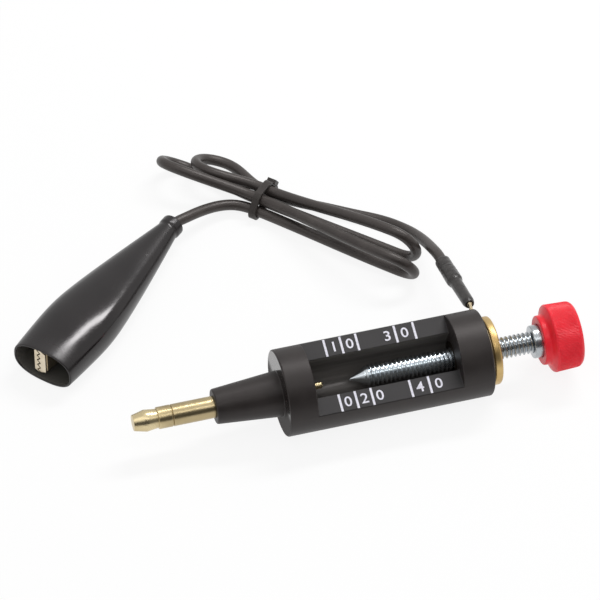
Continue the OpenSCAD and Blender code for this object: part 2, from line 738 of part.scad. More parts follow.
// Pair of pivot ears from a back line to the rivet, each with its hole.
module ears(back, side, z, gap) {
    seat = back_at(back, pivot_at) + side * sheet / 2;
    for (s = [-1, 1]) translate([0, 0, s > 0 ? z : -z - sheet]) linear_extrude(sheet) difference() {
        union() {
            translate([pivot_at, pivot_y]) circle(r = ear_r);
            polygon([[pivot_at - ear_r, pivot_y], [pivot_at + ear_r, pivot_y],
                     [pivot_at + 4, seat], [pivot_at - 4, seat]]);
        }
        translate([pivot_at, pivot_y]) circle(r = rivet_d / 2 + gap);
    }
}

// Plate that joins the ears and the toothed front, taller at the ears, with the handle behind.
module jaw_plate(back, side, ear_z, to) {
    linear_extrude(2 * (ear_z + sheet), center = true)
        jaw_strip(back, side, pivot_at - 4, pivot_at + 4);
    linear_extrude(2 * handle_half_h, center = true) jaw_strip(back, side, bite_to - sheet, to);
}

// Jaw that carries the lead in its crimp.
module fixed_jaw() {
    color(plated) in_clip() {
        jaw_front(fixed_back, -1);
        jaw_plate(fixed_back, -1, fixed_ear_z, crimp_from + crimp_len);
        ears(fixed_back, -1, fixed_ear_z, press_gap);
        translate([crimp_from, 0, 0]) rotate([0, 90, 0]) difference() {
            cylinder(d = crimp_d, h = crimp_len);
            translate([0, 0, -1]) cylinder(d = core_d + 2 * press_gap, h = crimp_len + 2);
        }
    }
}

module moving_jaw() {
    color(plated) in_clip() {
        jaw_front(moving_back, 1);
        jaw_plate(moving_back, 1, moving_ear_z, handle_end);
        ears(moving_back, 1, moving_ear_z, run_gap);
    }
}

module jaw_rivet() {
    top = fixed_ear_z + sheet;
    color(plated) in_clip() translate([pivot_at, pivot_y, 0]) rotate_extrude() polygon([
        [0, -top - rivet_head_h], [rivet_head_d / 2, -top - rivet_head_h], [rivet_head_d / 2, -top],
        [rivet_d / 2, -top], [rivet_d / 2, top], [rivet_head_d / 2, top],
        [rivet_head_d / 2, top + rivet_head_h], [0, top + rivet_head_h]
    ]);
}

module jaw_spring() {
    color(zinc) in_clip() translate([pivot_at, pivot_y, 0]) tube(spring_points, wire_d, 6);
}

// Bare conductor in the clip's crimp.
module clip_core() {
    color(copper) in_clip() translate([crimp_from, 0, 0]) rotate([0, 90, 0])
        cylinder(d = core_d, h = cord_end_at - crimp_from);
}

housing();
terminal_pin();
fixed_electrode();
end_bush();
adjusting_screw();
knob();
ring_terminal();
terminal_sleeve();
terminal_core();
lead_tester_end();
lead_hank();
lead_clip_end();
cable_tie();
clip_boot();
fixed_jaw();
moving_jaw();
jaw_rivet();
jaw_spring();
clip_core();
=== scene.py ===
import math
import bmesh
import bpy
import numpy as np
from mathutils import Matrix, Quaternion, Vector


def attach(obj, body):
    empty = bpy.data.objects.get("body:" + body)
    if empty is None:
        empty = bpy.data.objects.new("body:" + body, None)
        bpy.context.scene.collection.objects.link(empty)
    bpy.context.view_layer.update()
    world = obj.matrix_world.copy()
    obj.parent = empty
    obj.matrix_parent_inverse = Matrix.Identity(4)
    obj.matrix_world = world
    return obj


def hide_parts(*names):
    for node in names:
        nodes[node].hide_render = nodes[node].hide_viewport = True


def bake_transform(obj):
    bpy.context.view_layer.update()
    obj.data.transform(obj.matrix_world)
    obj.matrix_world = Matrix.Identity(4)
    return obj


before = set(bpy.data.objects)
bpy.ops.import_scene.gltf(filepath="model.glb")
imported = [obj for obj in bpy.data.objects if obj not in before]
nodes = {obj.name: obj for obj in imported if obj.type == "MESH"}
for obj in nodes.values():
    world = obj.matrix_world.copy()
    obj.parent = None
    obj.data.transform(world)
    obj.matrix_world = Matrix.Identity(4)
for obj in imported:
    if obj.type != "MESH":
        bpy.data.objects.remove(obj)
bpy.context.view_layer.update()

mm = 0.001
scene = bpy.context.scene

# places on the tester, in millimetres and degrees, as in the CAD source
tester = {
    "axisHeight": 12.5,
    "faceX": -22.55,          # left face of the round body
    "windowFrom": 8.2,
    "windowLength": 42.4,
    "windowLean": 22,
    "flatHeight": 5.5,
    "chamberWidth": 11.4,
}


# camera, with its lengths in millimetres
view = {
    "azimuth": -15.3,
    "elevation": 47,
    "distance": 1300,
    "standsOver": (-21.85, 0, 0),
    "looksAt": (-3.66, 45.72, 0),
    "pixelsPerMm": 3.535,
    "imagePixels": 600,
    "sensor": 36,
    "nearest": 50,
    "farthest": 20000,
}


def makeCamera():
    a, e = math.radians(view["azimuth"]), math.radians(view["elevation"])
    back = Vector((math.sin(a) * math.cos(e), -math.cos(a) * math.cos(e), math.sin(e)))
    place = Vector(view["standsOver"]) + back * view["distance"]
    aim = Vector(view["looksAt"]) - place
    data = bpy.data.cameras.new("photoView")
    data.sensor_width = view["sensor"]
    data.lens = view["pixelsPerMm"] * view["distance"] / view["imagePixels"] * view["sensor"]
    data.clip_start = view["nearest"] * mm
    data.clip_end = view["farthest"] * mm
    camera = bpy.data.objects.new("photoView", data)
    camera.location = place * mm
    camera.rotation_euler = aim.to_track_quat("-Z", "Y").to_euler()
    scene.collection.objects.link(camera)
    scene.camera = camera


makeCamera()
print("camera set")


# meshes from grids of points, in millimetres

def gridFaces(rows, columns, closeAround, closeAlong, first):
    # every cell of the grid is one quad between two rows and two columns
    i = np.arange(rows if closeAlong else rows - 1)[:, None]
    j = np.arange(columns if closeAround else columns - 1)[None, :]
    i2, j2 = (i + 1) % rows, (j + 1) % columns
    quads = np.stack([i * columns + j, i * columns + j2, i2 * columns + j2, i2 * columns + j], -1)
    return quads.reshape(-1, 4) + first


def shadedPiece(name, mesh, sharpAngle):
    mesh.shade_smooth()
    mesh.set_sharp_from_angle(angle=math.radians(sharpAngle))
    piece = bpy.data.objects.new(name, mesh)
    scene.collection.objects.link(piece)
    return piece


def meshPiece(name, grids, sharpAngle=35, weld=1e-7, lengthwise=None):
    # grids is a list of (points, closeAround, closeAlong); lengthwise adds a UV map of its value for the row
    # and the column's share of the way round
    points, faces, shares = [], [], []
    count = 0
    for grid, closeAround, closeAlong in grids:
        rows, columns = grid.shape[:2]
        points.append(grid.reshape(-1, 3))
        faces.append(gridFaces(rows, columns, closeAround, closeAlong, count))
        if lengthwise is not None:
            i, j = np.divmod(faces[-1] - count, columns)
            # the last cell of a row ends a whole way round, not back at the start
            atSeam = j.max(axis=1, keepdims=True) == columns - 1
            j = np.where((j == 0) & atSeam, columns, j)
            shares.append(np.stack([lengthwise[i], j / columns], -1))
        count += rows * columns
    mesh = bpy.data.meshes.new(name)
    mesh.from_pydata((np.concatenate(points) * mm).tolist(), [], np.concatenate(faces).tolist())
    if lengthwise is not None:
        layer = mesh.uv_layers.new(name="rowsAndColumns")
        layer.data.foreach_set("uv", np.concatenate(shares).reshape(-1).astype(np.float32))
    build = bmesh.new()
    build.from_mesh(mesh)
    bmesh.ops.remove_doubles(build, verts=build.verts, dist=weld)
    bmesh.ops.recalc_face_normals(build, faces=build.faces)
    build.to_mesh(mesh)
    build.free()
    return shadedPiece(name, mesh, sharpAngle)


def aroundAxis(x, r, angle):
    # a place along the tester, a radius and an angle make a point round the tester's axis
    across, up = r * np.cos(angle), tester["axisHeight"] + r * np.sin(angle)
    return np.stack(np.broadcast_arrays(x + tester["faceX"], across, up), -1)


def revolve(profile, columns, ripple=None):
    # profile rows are (place along X, radius); each row is turned about the tester's axis
    angle = np.linspace(0, 2 * np.pi, columns, endpoint=False)[None, :]
    x, r = profile[:, :1], profile[:, 1:2]
    if ripple is not None:
        r = r + ripple(x, r, angle)
    return aroundAxis(x, r, angle)


def rounded(corners, radius, steps=5, most=0.45):
    # a profile whose inner corners become short arcs: each is a quadratic curve that leaves and meets the
    # sides one radius from the corner, but uses no more than the given share of a side
    corners = np.array(corners, float)
    made = [corners[:1]]
    t = np.linspace(0, 1, steps)[:, None]
    for before, corner, after in zip(corners[:-2], corners[1:-1], corners[2:]):
        sides = (before - corner, after - corner)
        a, b = (corner + side * min(radius / np.linalg.norm(side), most) for side in sides)
        made.append((1 - t) ** 2 * a + 2 * t * (1 - t) * corner + t ** 2 * b)
    made.append(corners[-1:])
    return np.vstack(made)


def carriedSides(path):
    # two vectors square to the path at each point, carried along it without twist; headings are central
    # differences, and the first side is the part of a fixed vector that is square to the first heading
    heading = np.gradient(path, axis=0)
    heading /= np.linalg.norm(heading, axis=1, keepdims=True)
    side = np.empty_like(path)
    last = np.array([0.1, 0.2, 1.0])
    for i, h in enumerate(heading):
        last = last - (last @ h) * h
        last /= np.linalg.norm(last)
        side[i] = last
    return side, np.cross(heading, side)


def closedTube(path, radius, columns):
    # a circle carried along the path, with a row at each end drawn in to the path so that the tube is closed
    side, other = carriedSides(path)
    angle = np.linspace(0, 2 * np.pi, columns, endpoint=False)[None, :, None]
    body = path[:, None] + radius * (np.cos(angle) * side[:, None] + np.sin(angle) * other[:, None])
    first = np.broadcast_to(path[0], body[:1].shape)
    last = np.broadcast_to(path[-1], body[:1].shape)
    return np.concatenate([first, body, last])


# earth lead: terminal sleeve, tied hank and clip, on one route
lead = {
    "diameter": 3.2,
    "columns": 20,
    "pointGap": 0.9,             # between points of the finished route
    "smoothings": 3,
    "tie": (-3.85, 85.5, 0),
    "tieHeading": -45,
    "loops": 2,
    "foldRadius": 6.5,
    "foldSteps": 26,
    "runSteps": 26,
    "slowSpread": 0.65,          # share of the spread that also starts level
    "waistStep": 2.2,
    "waistRise": 3.0,
    "waistHalf": 3.5,
    "waistHeight": 2.7,
    "hankTail": 2.2,             # reach of the hank's two ends from the middle of the tie
    "straightBefore": 4.48,
    "straightAfter": 0.5,
    "leftLobes": ((24.6, 4, 30), (32.8, -2.4, 42)),      # reach, middle across, lean of each end lobe
    "rightLobes": ((51.6, -0.5, 74), (54.8, -7.9, 61)),
    "fromSleeve": ((36.56, 41.47, 12), (36.35, 45.6, 10.3), (36.15, 49.9, 8.3), (35.65, 54.5, 6.2),
                   (34.4, 59.9, 3.9), (32.6, 63.95, 2.5), (29.95, 67.45, 1.85), (26.5, 70.35, 1.68),
                   (22.9, 72.7, 1.65), (19.25, 75.05, 1.65), (15.65, 77.4, 1.7), (12.2, 79.35, 1.95),
                   (8.2, 81.3, 2.4)),
    "toClip": ((-9.74, 84.8, 2.75), (-11.89, 85.89, 2.95), (-14.83, 86.33, 3.35), (-18.33, 85.76, 4.1),
               (-22.02, 84.44, 5), (-25.57, 82.68, 5.95), (-28.47, 81.19, 6.55)),
    "sleeveSpan": (10, 23.3),    # from the stripped end to the sleeve's end, along the sleeve
    "bootSpan": (68.4, 50),      # from just outside the boot to the clip's crimp, along the boot
    "sleevePoints": 4,
    "bootPoints": 5,
}
terminal = {"tongueReach": 15.5, "tongueRise": 19, "x": 60.25}
clip = {"mouth": (-83.15, 33.5, 6.9), "heading": 42.2, "pivotAt": 22, "pivotAcross": 2.2}


def turnFlat(points, degrees):
    # turns points about Z
    a = math.radians(degrees)
    x, y, z = points[..., 0], points[..., 1], points[..., 2]
    return np.stack([x * math.cos(a) - y * math.sin(a), x * math.sin(a) + y * math.cos(a), z], -1)


def fromTie(points):
    return np.array(lead["tie"]) + turnFlat(np.asarray(points, float), lead["tieHeading"])


def fromClip(points):
    return np.array(clip["mouth"]) + turnFlat(np.asarray(points, float), clip["heading"])


def tongueEnd():
    rise = math.radians(terminal["tongueRise"])
    return np.array([tester["faceX"] + terminal["x"], terminal["tongueReach"] * math.cos(rise),
                     tester["axisHeight"] + terminal["tongueReach"] * math.sin(rise)])


def sleeveHeading():
    way = np.array(lead["fromSleeve"][0]) - tongueEnd()
    return way / np.linalg.norm(way)


def strand(j):
    # across and up at the waist: every second strand lies on top
    across = (lead["loops"] - j) * lead["waistStep"]
    return np.array([across, lead["waistHeight"] + (j % 2) * lead["waistRise"]])


def atWaist(along, j):
    return np.hstack([[along], strand(j)])[None]


def lobe(j, side, reach, middle, lean):
    # out along a run that spreads from the waist and levels at the fold, half a circle in the leaning plane,
    # and back; the spread is a raised cosine mixed with a quarter sine
    lean = math.radians(lean)
    half = lead["foldRadius"] * np.array([math.cos(lean), -math.sin(lean)])
    centre = np.array([middle, lead["diameter"] / 2 + lead["foldRadius"] * math.sin(lean)])
    far = 1 if side < 0 else -1
    run = reach - lead["foldRadius"]
    t = np.linspace(0, 1, lead["runSteps"], endpoint=False)[:, None]
    slow = lead["slowSpread"]
    spread = slow * (1 - np.cos(np.pi * t)) / 2 + (1 - slow) * np.sin(np.pi * t / 2)
    along = side * (lead["waistHalf"] + (run - lead["waistHalf"]) * t)
    out = np.hstack([along, strand(j) + (centre + far * half - strand(j)) * spread])
    home = np.hstack([along, strand(j + 1) + (centre - far * half - strand(j + 1)) * spread])[::-1]
    a = np.linspace(0, np.pi, lead["foldSteps"] + 1)[:, None]
    fold = np.hstack([side * (run + lead["foldRadius"] * np.sin(a)), centre + far * half * np.cos(a)])
    return np.vstack([out, fold, home])


def throughPoints(points, steps=12):
    # a smooth curve through every point: each stretch is a cubic from its four nearest points
    p = np.asarray(points, float)
    q = np.vstack([p[:1], p, p[-1:]])
    a, b, c, d = (q[k:len(q) - 3 + k][:, None] for k in range(4))
    t = np.linspace(0, 1, steps, endpoint=False)[None, :, None]
    square, cube = 2 * a - 5 * b + 4 * c - d, 3 * b - a - 3 * c + d
    made = (2 * b + t * (c - a) + t ** 2 * square + t ** 3 * cube) / 2
    return np.vstack([made.reshape(-1, 3), p[-1:]])


def evenly(path, gap):
    # the same path with points one gap apart
    length = np.r_[0, np.cumsum(np.linalg.norm(np.diff(path, axis=0), axis=1))]
    places = np.linspace(0, length[-1], int(round(length[-1] / gap)) + 1)
    return np.stack([np.interp(places, length, path[:, k]) for k in range(3)], -1)


def leadRoute():
    # sleeve to tie, the hank's loops one after the other, and tie to boot, with the joins smoothed
    tail, lastStrand = lead["hankTail"], 2 * lead["loops"]
    hank = [atWaist(tail, 0), atWaist(0, 0)]
    for i in range(lead["loops"]):
        for side, lobes in ((-1, lead["leftLobes"]), (1, lead["rightLobes"])):
            j = 2 * i + (side + 1) // 2
            hank.append(lobe(j, side, *lobes[i]))
            hank.append(atWaist(0, j + 1))
    hank.append(atWaist(-tail, lastStrand))
    hank = fromTie(np.vstack(hank))
    before = fromTie(atWaist(tail + lead["straightBefore"], 0))
    after = fromTie(atWaist(-tail - lead["straightAfter"], lastStrand))
    inSleeve = np.linspace(*lead["sleeveSpan"], lead["sleevePoints"])[:, None] * sleeveHeading() + tongueEnd()
    inBoot = fromClip(np.linspace(*lead["bootSpan"], lead["bootPoints"])[:, None] * [1, 0, 0])
    first = throughPoints(np.vstack([inSleeve, lead["fromSleeve"], before, hank[:1]]))
    last = np.vstack([hank[-1:], throughPoints(np.vstack([after, lead["toClip"], inBoot]))])
    path = evenly(np.vstack([first[:-1], hank[:-1], last]), lead["pointGap"])
    for _ in range(lead["smoothings"]):
        path[1:-1] = (path[:-2] + 2 * path[1:-1] + path[2:]) / 4
    return evenly(path, lead["pointGap"])


leadPath = leadRoute()
leadLength = float(np.linalg.norm(np.diff(leadPath, axis=0), axis=1).sum())
leadShare = np.r_[0, np.linspace(0, leadLength * mm, len(leadPath)), leadLength * mm]
leadTube = closedTube(leadPath, lead["diameter"] / 2, lead["columns"])
leadPiece = meshPiece("earthLead", [(leadTube, True, False)], sharpAngle=60, lengthwise=leadShare)
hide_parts("lead_tester_end", "lead_hank", "lead_clip_end")
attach(leadPiece, "tester")
print("lead made,", round(leadLength), "mm")


# materials: a wrapped socket takes part in sums, and the paint adds the nodes

class Wire:
    def __init__(self, paint, socket):
        self.paint = paint
        self.socket = socket

    def combine(self, operation, *terms):
        return self.paint.node("ShaderNodeMath", {"operation": operation}, dict(enumerate(terms)))

    def __add__(self, other):
        return self.combine("ADD", self, other)

    def __radd__(self, other):
        return self.combine("ADD", other, self)

    def __sub__(self, other):
        return self.combine("SUBTRACT", self, other)

    def __rsub__(self, other):
        return self.combine("SUBTRACT", other, self)

    def __mul__(self, other):
        return self.combine("MULTIPLY", self, other)

    def __rmul__(self, other):
        return self.combine("MULTIPLY", other, self)

    def __lt__(self, other):
        return self.combine("LESS_THAN", self, other)

    def __gt__(self, other):
        return self.combine("GREATER_THAN", self, other)

    def __abs__(self):
        return self.combine("ABSOLUTE", self)


class Paint:
    def __init__(self, name, fixed, kind="materials", shader="Principled BSDF"):
        self.material = getattr(bpy.data, kind).new(name)
        self.material.use_nodes = True
        self.tree = self.material.node_tree
        self.shader = self.tree.nodes[shader]
        for socket, value in fixed.items():
            self.shader.inputs[socket].default_value = value

    def node(self, kind, settings=None, sockets=None, output=0):
        made = self.tree.nodes.new(kind)
        for key, value in (settings or {}).items():
            setattr(made, key, value)
        for key, value in (sockets or {}).items():
            if isinstance(value, Wire):
                self.tree.links.new(value.socket, made.inputs[key])
            else:
                made.inputs[key].default_value = value
        return Wire(self, made.outputs[output])

    def feed(self, **sockets):
        for key, wire in sockets.items():
            self.tree.links.new(wire.socket, self.shader.inputs[key.replace("_", " ")])
        return self.material

    def cover(self, wire):
        self.tree.links.new(wire.socket, self.tree.nodes["Material Output"].inputs["Surface"])
        return self.material

    def seen(self):
        # the camera's own rays, and 1 for all that the camera, a reflection or clear material looks at
        camera, glossy, clear = (self.node("ShaderNodeLightPath", output=f"Is {ray} Ray")
                                 for ray in ("Camera", "Glossy", "Transmission"))
        return camera, camera.combine("MAXIMUM", camera.combine("MAXIMUM", camera, glossy), clear)

    def place(self, output="Object"):
        return self.node("ShaderNodeTexCoord", output=output)

    def split(self, vector):
        parts = self.node("ShaderNodeSeparateXYZ", sockets={0: vector}).socket.node
        return [Wire(self, parts.outputs[k]) for k in range(3)]

    def noise(self, vector, scale, detail):
        return self.node("ShaderNodeTexNoise", sockets={"Vector": vector, "Scale": scale, "Detail": detail})

    def stretched(self, vector, scale, detail):
        # noise with its own scale along each axis
        mapped = self.node("ShaderNodeMapping", sockets={"Vector": vector, "Scale": scale})
        return self.noise(mapped, 1, detail)

    def drawn(self, vector, degrees, size, detail):
        # noise of the given size along and across a heading in the XY plane
        mapped = self.node("ShaderNodeMapping", {"vector_type": "TEXTURE"}, {
            "Vector": vector, "Rotation": (0, 0, math.radians(degrees)), "Scale": size})
        return self.noise(mapped, 1, detail)

    def blend(self, share, a, b):
        # sockets 0, 6 and 7 are the share and the two colours, and output 2 is the colour
        return self.node("ShaderNodeMix", {"data_type": "RGBA"}, {0: share, 6: a, 7: b}, output=2)

    def ease(self, value, low, high, start=0.0, end=1.0):
        return self.node("ShaderNodeMapRange", {"interpolation_type": "SMOOTHSTEP"},
                         {0: value, 1: low, 2: high, 3: start, 4: end})

    def mottle(self, noise, low, high, tones):
        # the first tone where the noise is low, the second where it is high
        return self.blend(self.ease(noise, low, high), *tones)

    def bump(self, height, distance, strength):
        return self.node("ShaderNodeBump", sockets={
            "Strength": strength, "Distance": distance, "Height": height})


def bodyPlastic():
    # warm black moulding: the printed flats are cooler, the chamber is glossy and painted a paler grey as
    # painted light for the light and reflections inside it, and the end face is polished towards its top
    look = {
        "tones": ((0.0120, 0.0088, 0.0080, 1), (0.0190, 0.0150, 0.0140, 1)),
        "flat": (0.0190, 0.0190, 0.0205, 1),
        # painted light: the chamber's paler grey stands for the light inside the recess
        "chamber": (0.1200, 0.1130, 0.1060, 1),
        "onFace": 0.05,              # how near to a face its finish starts, in millimetres
        "besideChamber": 0.03,
        "polishFrom": -1,            # heights above the axis, in millimetres
        "polishTo": 4,
    }
    paint = Paint("bodyPlastic", {"Specular IOR Level": 0.45, "Specular Tint": (1.0, 0.95, 0.94, 1)})
    place = paint.place()
    x, y, z = paint.split(place)
    lean = math.radians(tester["windowLean"])
    up = z - tester["axisHeight"] * mm
    height = up * math.cos(lean) - y * math.sin(lean)
    across = y * math.cos(lean) + up * math.sin(lean)
    near = look["onFace"] * mm
    windowMiddle = (tester["faceX"] + tester["windowFrom"] + tester["windowLength"] / 2) * mm
    inWindow = abs(x - windowMiddle) < tester["windowLength"] / 2 * mm - near
    inChamber = (abs(across) < (tester["chamberWidth"] / 2 + look["besideChamber"]) * mm) * inWindow
    onFlat = (abs(height - tester["flatHeight"] * mm) < near) * inWindow
    onEnd = abs(x - tester["faceX"] * mm) < near
    polish = paint.ease(up, look["polishFrom"] * mm, look["polishTo"] * mm, start=-0.18, end=0.36)
    cloud = paint.noise(place, scale=160, detail=4)
    grain = paint.noise(place, scale=5200, detail=2)
    # streaks in the chamber's painted light
    chamberLightStreak = paint.stretched(place, scale=(60, 900, 900), detail=3)
    colour = paint.mottle(cloud, 0.35, 0.75, look["tones"])
    colour = paint.blend(onFlat, colour, look["flat"])
    # painted light: the chamber is blended towards a paler grey, in streaks
    colour = paint.blend(inChamber * (0.55 + chamberLightStreak * 0.6), colour, look["chamber"])
    rough = 0.42 + cloud * 0.12 - onFlat * 0.10 - onEnd * polish - inChamber * 0.24
    return paint.feed(Base_Color=colour, Roughness=rough,
                      Normal=paint.bump(grain, distance=0.03 * mm, strength=0.35))


def turnedBrass(name, tones, rough, tarnish=0.0):
    # lathe-turned brass: fine rings along X, duller patches, painted shade on the bush's face towards the
    # chamber, and a given share of tarnish away from the pin's nose
    look = {
        "tarnished": (0.33, 0.26, 0.145, 1),
        "tarnishFrom": -60.0,        # places along X, in millimetres
        "tarnishTo": -54.5,
        # painted shade: near-black on the bush's face towards the chamber
        "bushFaceShade": (0.030, 0.024, 0.018, 1),
        "bushFaceShadeReach": 0.6,
    }
    paint = Paint(name, {"Metallic": 1.0})
    place = paint.place()
    x = paint.split(place)[0]
    rings = paint.stretched(place, scale=(4200, 160, 160), detail=2)
    cloud = paint.noise(place, scale=220, detail=3)
    bushFace = (tester["faceX"] + tester["windowFrom"] + tester["windowLength"]) * mm
    # the bush's face towards the chamber, where shade is painted
    bushFaceShade = abs(x - bushFace) < look["bushFaceShadeReach"] * mm
    tarnished = paint.ease(x, look["tarnishFrom"] * mm, look["tarnishTo"] * mm, end=tarnish)
    colour = paint.mottle(cloud, 0.3, 0.75, tones)
    colour = paint.blend(tarnished, colour, look["tarnished"])
    # painted shade on the bush's face towards the chamber
    colour = paint.blend(bushFaceShade, colour, look["bushFaceShade"])
    return paint.feed(Base_Color=colour, Roughness=rough + cloud * 0.16 + rings * 0.06 + bushFaceShade * 0.3,
                      Normal=paint.bump(rings, distance=0.02 * mm, strength=0.22))


def zincPlate():
    # bright zinc plating with a faint blue cast and small dull specks, greyer along X towards the head end
    look = {
        "tones": ((0.74, 0.79, 0.83, 1), (0.65, 0.69, 0.72, 1)),
        "greyerEnd": (0.43, 0.455, 0.475, 1),
        "greyerFrom": 34,           # places along X, in millimetres
        "greyerTo": 42,
    }
    paint = Paint("zincPlate", {"Metallic": 1.0})
    place = paint.place()
    cloud = paint.noise(place, scale=420, detail=4)
    speck = paint.noise(place, scale=4200, detail=2)
    greyerEnd = paint.ease(paint.split(place)[0], look["greyerFrom"] * mm, look["greyerTo"] * mm)
    colour = paint.mottle(cloud, 0.3, 0.7, look["tones"])
    # a greyer tone towards the head end, which dims the reflections there
    colour = paint.blend(greyerEnd, colour, look["greyerEnd"])
    return paint.feed(Base_Color=colour, Roughness=0.14 + cloud * 0.14 + greyerEnd * 0.06,
                      Normal=paint.bump(speck, distance=0.01 * mm, strength=0.15))


def nickelSheet():
    # cream nickel on pressed sheet, with level brush lines
    tones = ((0.76, 0.67, 0.52, 1), (0.64, 0.55, 0.41, 1))
    paint = Paint("nickelSheet", {"Metallic": 1.0})
    place = paint.place()
    brushed = paint.stretched(place, scale=(700, 700, 4200), detail=3)
    cloud = paint.noise(place, scale=300, detail=3)
    return paint.feed(Base_Color=paint.mottle(cloud, 0.3, 0.7, tones), Roughness=0.26 + brushed * 0.18,
                      Normal=paint.bump(brushed, distance=0.02 * mm, strength=0.3))


def knobPlastic():
    # moulded red with soft pale scuffs
    look = {
        "tones": ((0.86, 0.016, 0.034, 1), (0.76, 0.012, 0.026, 1)),
        "scuff": (0.94, 0.22, 0.25, 1),
        "scuffShare": 0.22,
    }
    paint = Paint("knobPlastic", {"Specular IOR Level": 0.32})
    place = paint.place()
    cloud = paint.noise(place, scale=260, detail=4)
    grain = paint.noise(place, scale=3600, detail=2)
    scuff = paint.ease(paint.stretched(place, scale=(900, 2600, 2600), detail=4), 0.62, 0.80)
    colour = paint.mottle(cloud, 0.3, 0.7, look["tones"])
    colour = paint.blend(scuff * look["scuffShare"], colour, look["scuff"])
    return paint.feed(Base_Color=colour, Roughness=0.30 + cloud * 0.14 + scuff * 0.12,
                      Normal=paint.bump(grain, distance=0.03 * mm, strength=0.25))


def leadInsulation():
    # satin black insulation: faint drawn lines along the lead and a few dusty stretches
    tones = ((0.0350, 0.0290, 0.0265, 1), (0.0550, 0.0470, 0.0435, 1))
    paint = Paint("leadInsulation", {"Specular IOR Level": 0.5, "Specular Tint": (1.0, 0.95, 0.93, 1)})
    lines = paint.stretched(paint.place("UV"), scale=(60, 26, 1), detail=3)
    dust = paint.ease(paint.noise(paint.place(), scale=130, detail=4), 0.42, 0.78)
    return paint.feed(Base_Color=paint.blend(dust, *tones), Roughness=0.34 + dust * 0.12 + lines * 0.10,
                      Normal=paint.bump(lines, distance=0.04 * mm, strength=0.35))


def shrunkTubing():
    # glossy shrunk tubing with fine creases
    tones = ((0.0165, 0.0138, 0.0128, 1), (0.0340, 0.0292, 0.0272, 1))
    paint = Paint("shrunkTubing", {"Specular IOR Level": 0.55})
    place = paint.place()
    crease = paint.stretched(place, scale=(1500, 420, 1500), detail=4)
    cloud = paint.noise(place, scale=700, detail=3)
    return paint.feed(Base_Color=paint.mottle(cloud, 0.35, 0.7, tones), Roughness=0.20 + cloud * 0.20,
                      Normal=paint.bump(crease, distance=0.12 * mm, strength=0.6))


def tieNylon():
    # black nylon, a little uneven
    tones = ((0.0300, 0.0250, 0.0225, 1), (0.0460, 0.0395, 0.0360, 1))
    paint = Paint("tieNylon", {"Specular IOR Level": 0.3})
    place = paint.place()
    cloud = paint.noise(place, scale=500, detail=3)
    grain = paint.noise(place, scale=2600, detail=2)
    return paint.feed(Base_Color=paint.blend(cloud, *tones), Roughness=0.30 + cloud * 0.18,
                      Normal=paint.bump(grain, distance=0.04 * mm, strength=0.3))


def bootVinyl():
    # soft dipped vinyl with a very slow ripple, faint lines along it and small dull marks: glossy on the
    # bulge and duller at the lip and the neck, as U rises along the skin, and greyer where U marks the inside
    look = {
        "tones": ((0.0070, 0.0056, 0.0056, 1), (0.0115, 0.0094, 0.0094, 1)),
        "inside": (0.0950, 0.0910, 0.0830, 1),
        "lineSize": (0.016, 0.0011, 0.0011),     # along and across the boot, in metres
        "dullLip": 0.16,
        "dullNeck": 0.14,
    }
    paint = Paint("bootVinyl", {"Specular IOR Level": 0.5, "Specular Tint": (1.0, 0.97, 0.98, 1)})
    place = paint.place()
    along = paint.split(paint.place("UV"))[0]
    slow = paint.noise(place, scale=75, detail=2)
    lines = paint.drawn(place, clip["heading"], look["lineSize"], detail=3)
    mark = paint.ease(paint.noise(place, scale=620, detail=4), 0.60, 0.80)
    inside = paint.ease(along, 0.5, 1.0)
    lip = paint.ease(along, 0.0, 0.06, start=look["dullLip"], end=0.0)
    neck = paint.ease(along, 0.15, 0.40, end=look["dullNeck"])
    colour = paint.blend(inside, paint.mottle(slow, 0.3, 0.7, look["tones"]), look["inside"])
    rough = 0.11 + slow * 0.08 + mark * 0.10 + neck + lip + inside * 0.10
    return paint.feed(Base_Color=colour, Roughness=rough,
                      Normal=paint.bump(slow + lines * 0.16, distance=0.8 * mm, strength=0.12))


def bareCopper():
    # twisted strands: slanting bands round the conductor
    tones = ((0.55, 0.24, 0.12, 1), (0.82, 0.42, 0.24, 1))
    paint = Paint("bareCopper", {"Metallic": 1.0})
    band = paint.node("ShaderNodeTexWave", {"wave_type": "BANDS", "bands_direction": "DIAGONAL"},
                      {"Vector": paint.place(), "Scale": 900.0, "Distortion": 0.6})
    return paint.feed(Base_Color=paint.blend(band, *tones), Roughness=0.24 + band * 0.12,
                      Normal=paint.bump(band, distance=0.1 * mm, strength=0.5))


def printInk():
    # pale ink, a little thin in places
    tones = ((0.80, 0.79, 0.86, 1), (0.62, 0.61, 0.70, 1))
    paint = Paint("printInk", {"Specular IOR Level": 0.4})
    thin = paint.noise(paint.place(), scale=2400, detail=3)
    return paint.feed(Base_Color=paint.mottle(thin, 0.35, 0.75, tones), Roughness=0.45 + thin * 0.15,
                      Normal=paint.bump(thin, distance=0.01 * mm, strength=0.2))


brassTones = {
    "bright": ((0.70, 0.585, 0.355, 1), (0.58, 0.47, 0.265, 1)),
    "satin": ((0.62, 0.45, 0.20, 1), (0.50, 0.34, 0.14, 1)),
    "dull": ((0.36, 0.31, 0.21, 1), (0.29, 0.24, 0.16, 1)),
}
paints = {
    "body": bodyPlastic(),
    "brass": turnedBrass("turnedBrass", brassTones["bright"], rough=0.18, tarnish=0.55),
    "satin": turnedBrass("satinBrass", brassTones["satin"], rough=0.26),
    "dull": turnedBrass("dullBrass", brassTones["dull"], rough=0.34),
    "zinc": zincPlate(),
    "nickel": nickelSheet(),
    "knob": knobPlastic(),
    "lead": leadInsulation(),
    "sleeve": shrunkTubing(),
    "tie": tieNylon(),
    "boot": bootVinyl(),
    "copper": bareCopper(),
    "ink": printInk(),
}
leadPiece.data.materials.append(paints["lead"])
print("materials made")


# pieces that keep the CAD shape
softening = {"weld": 2e-6, "flatWithin": 0.4, "sharpFrom": 32, "segments": 2}


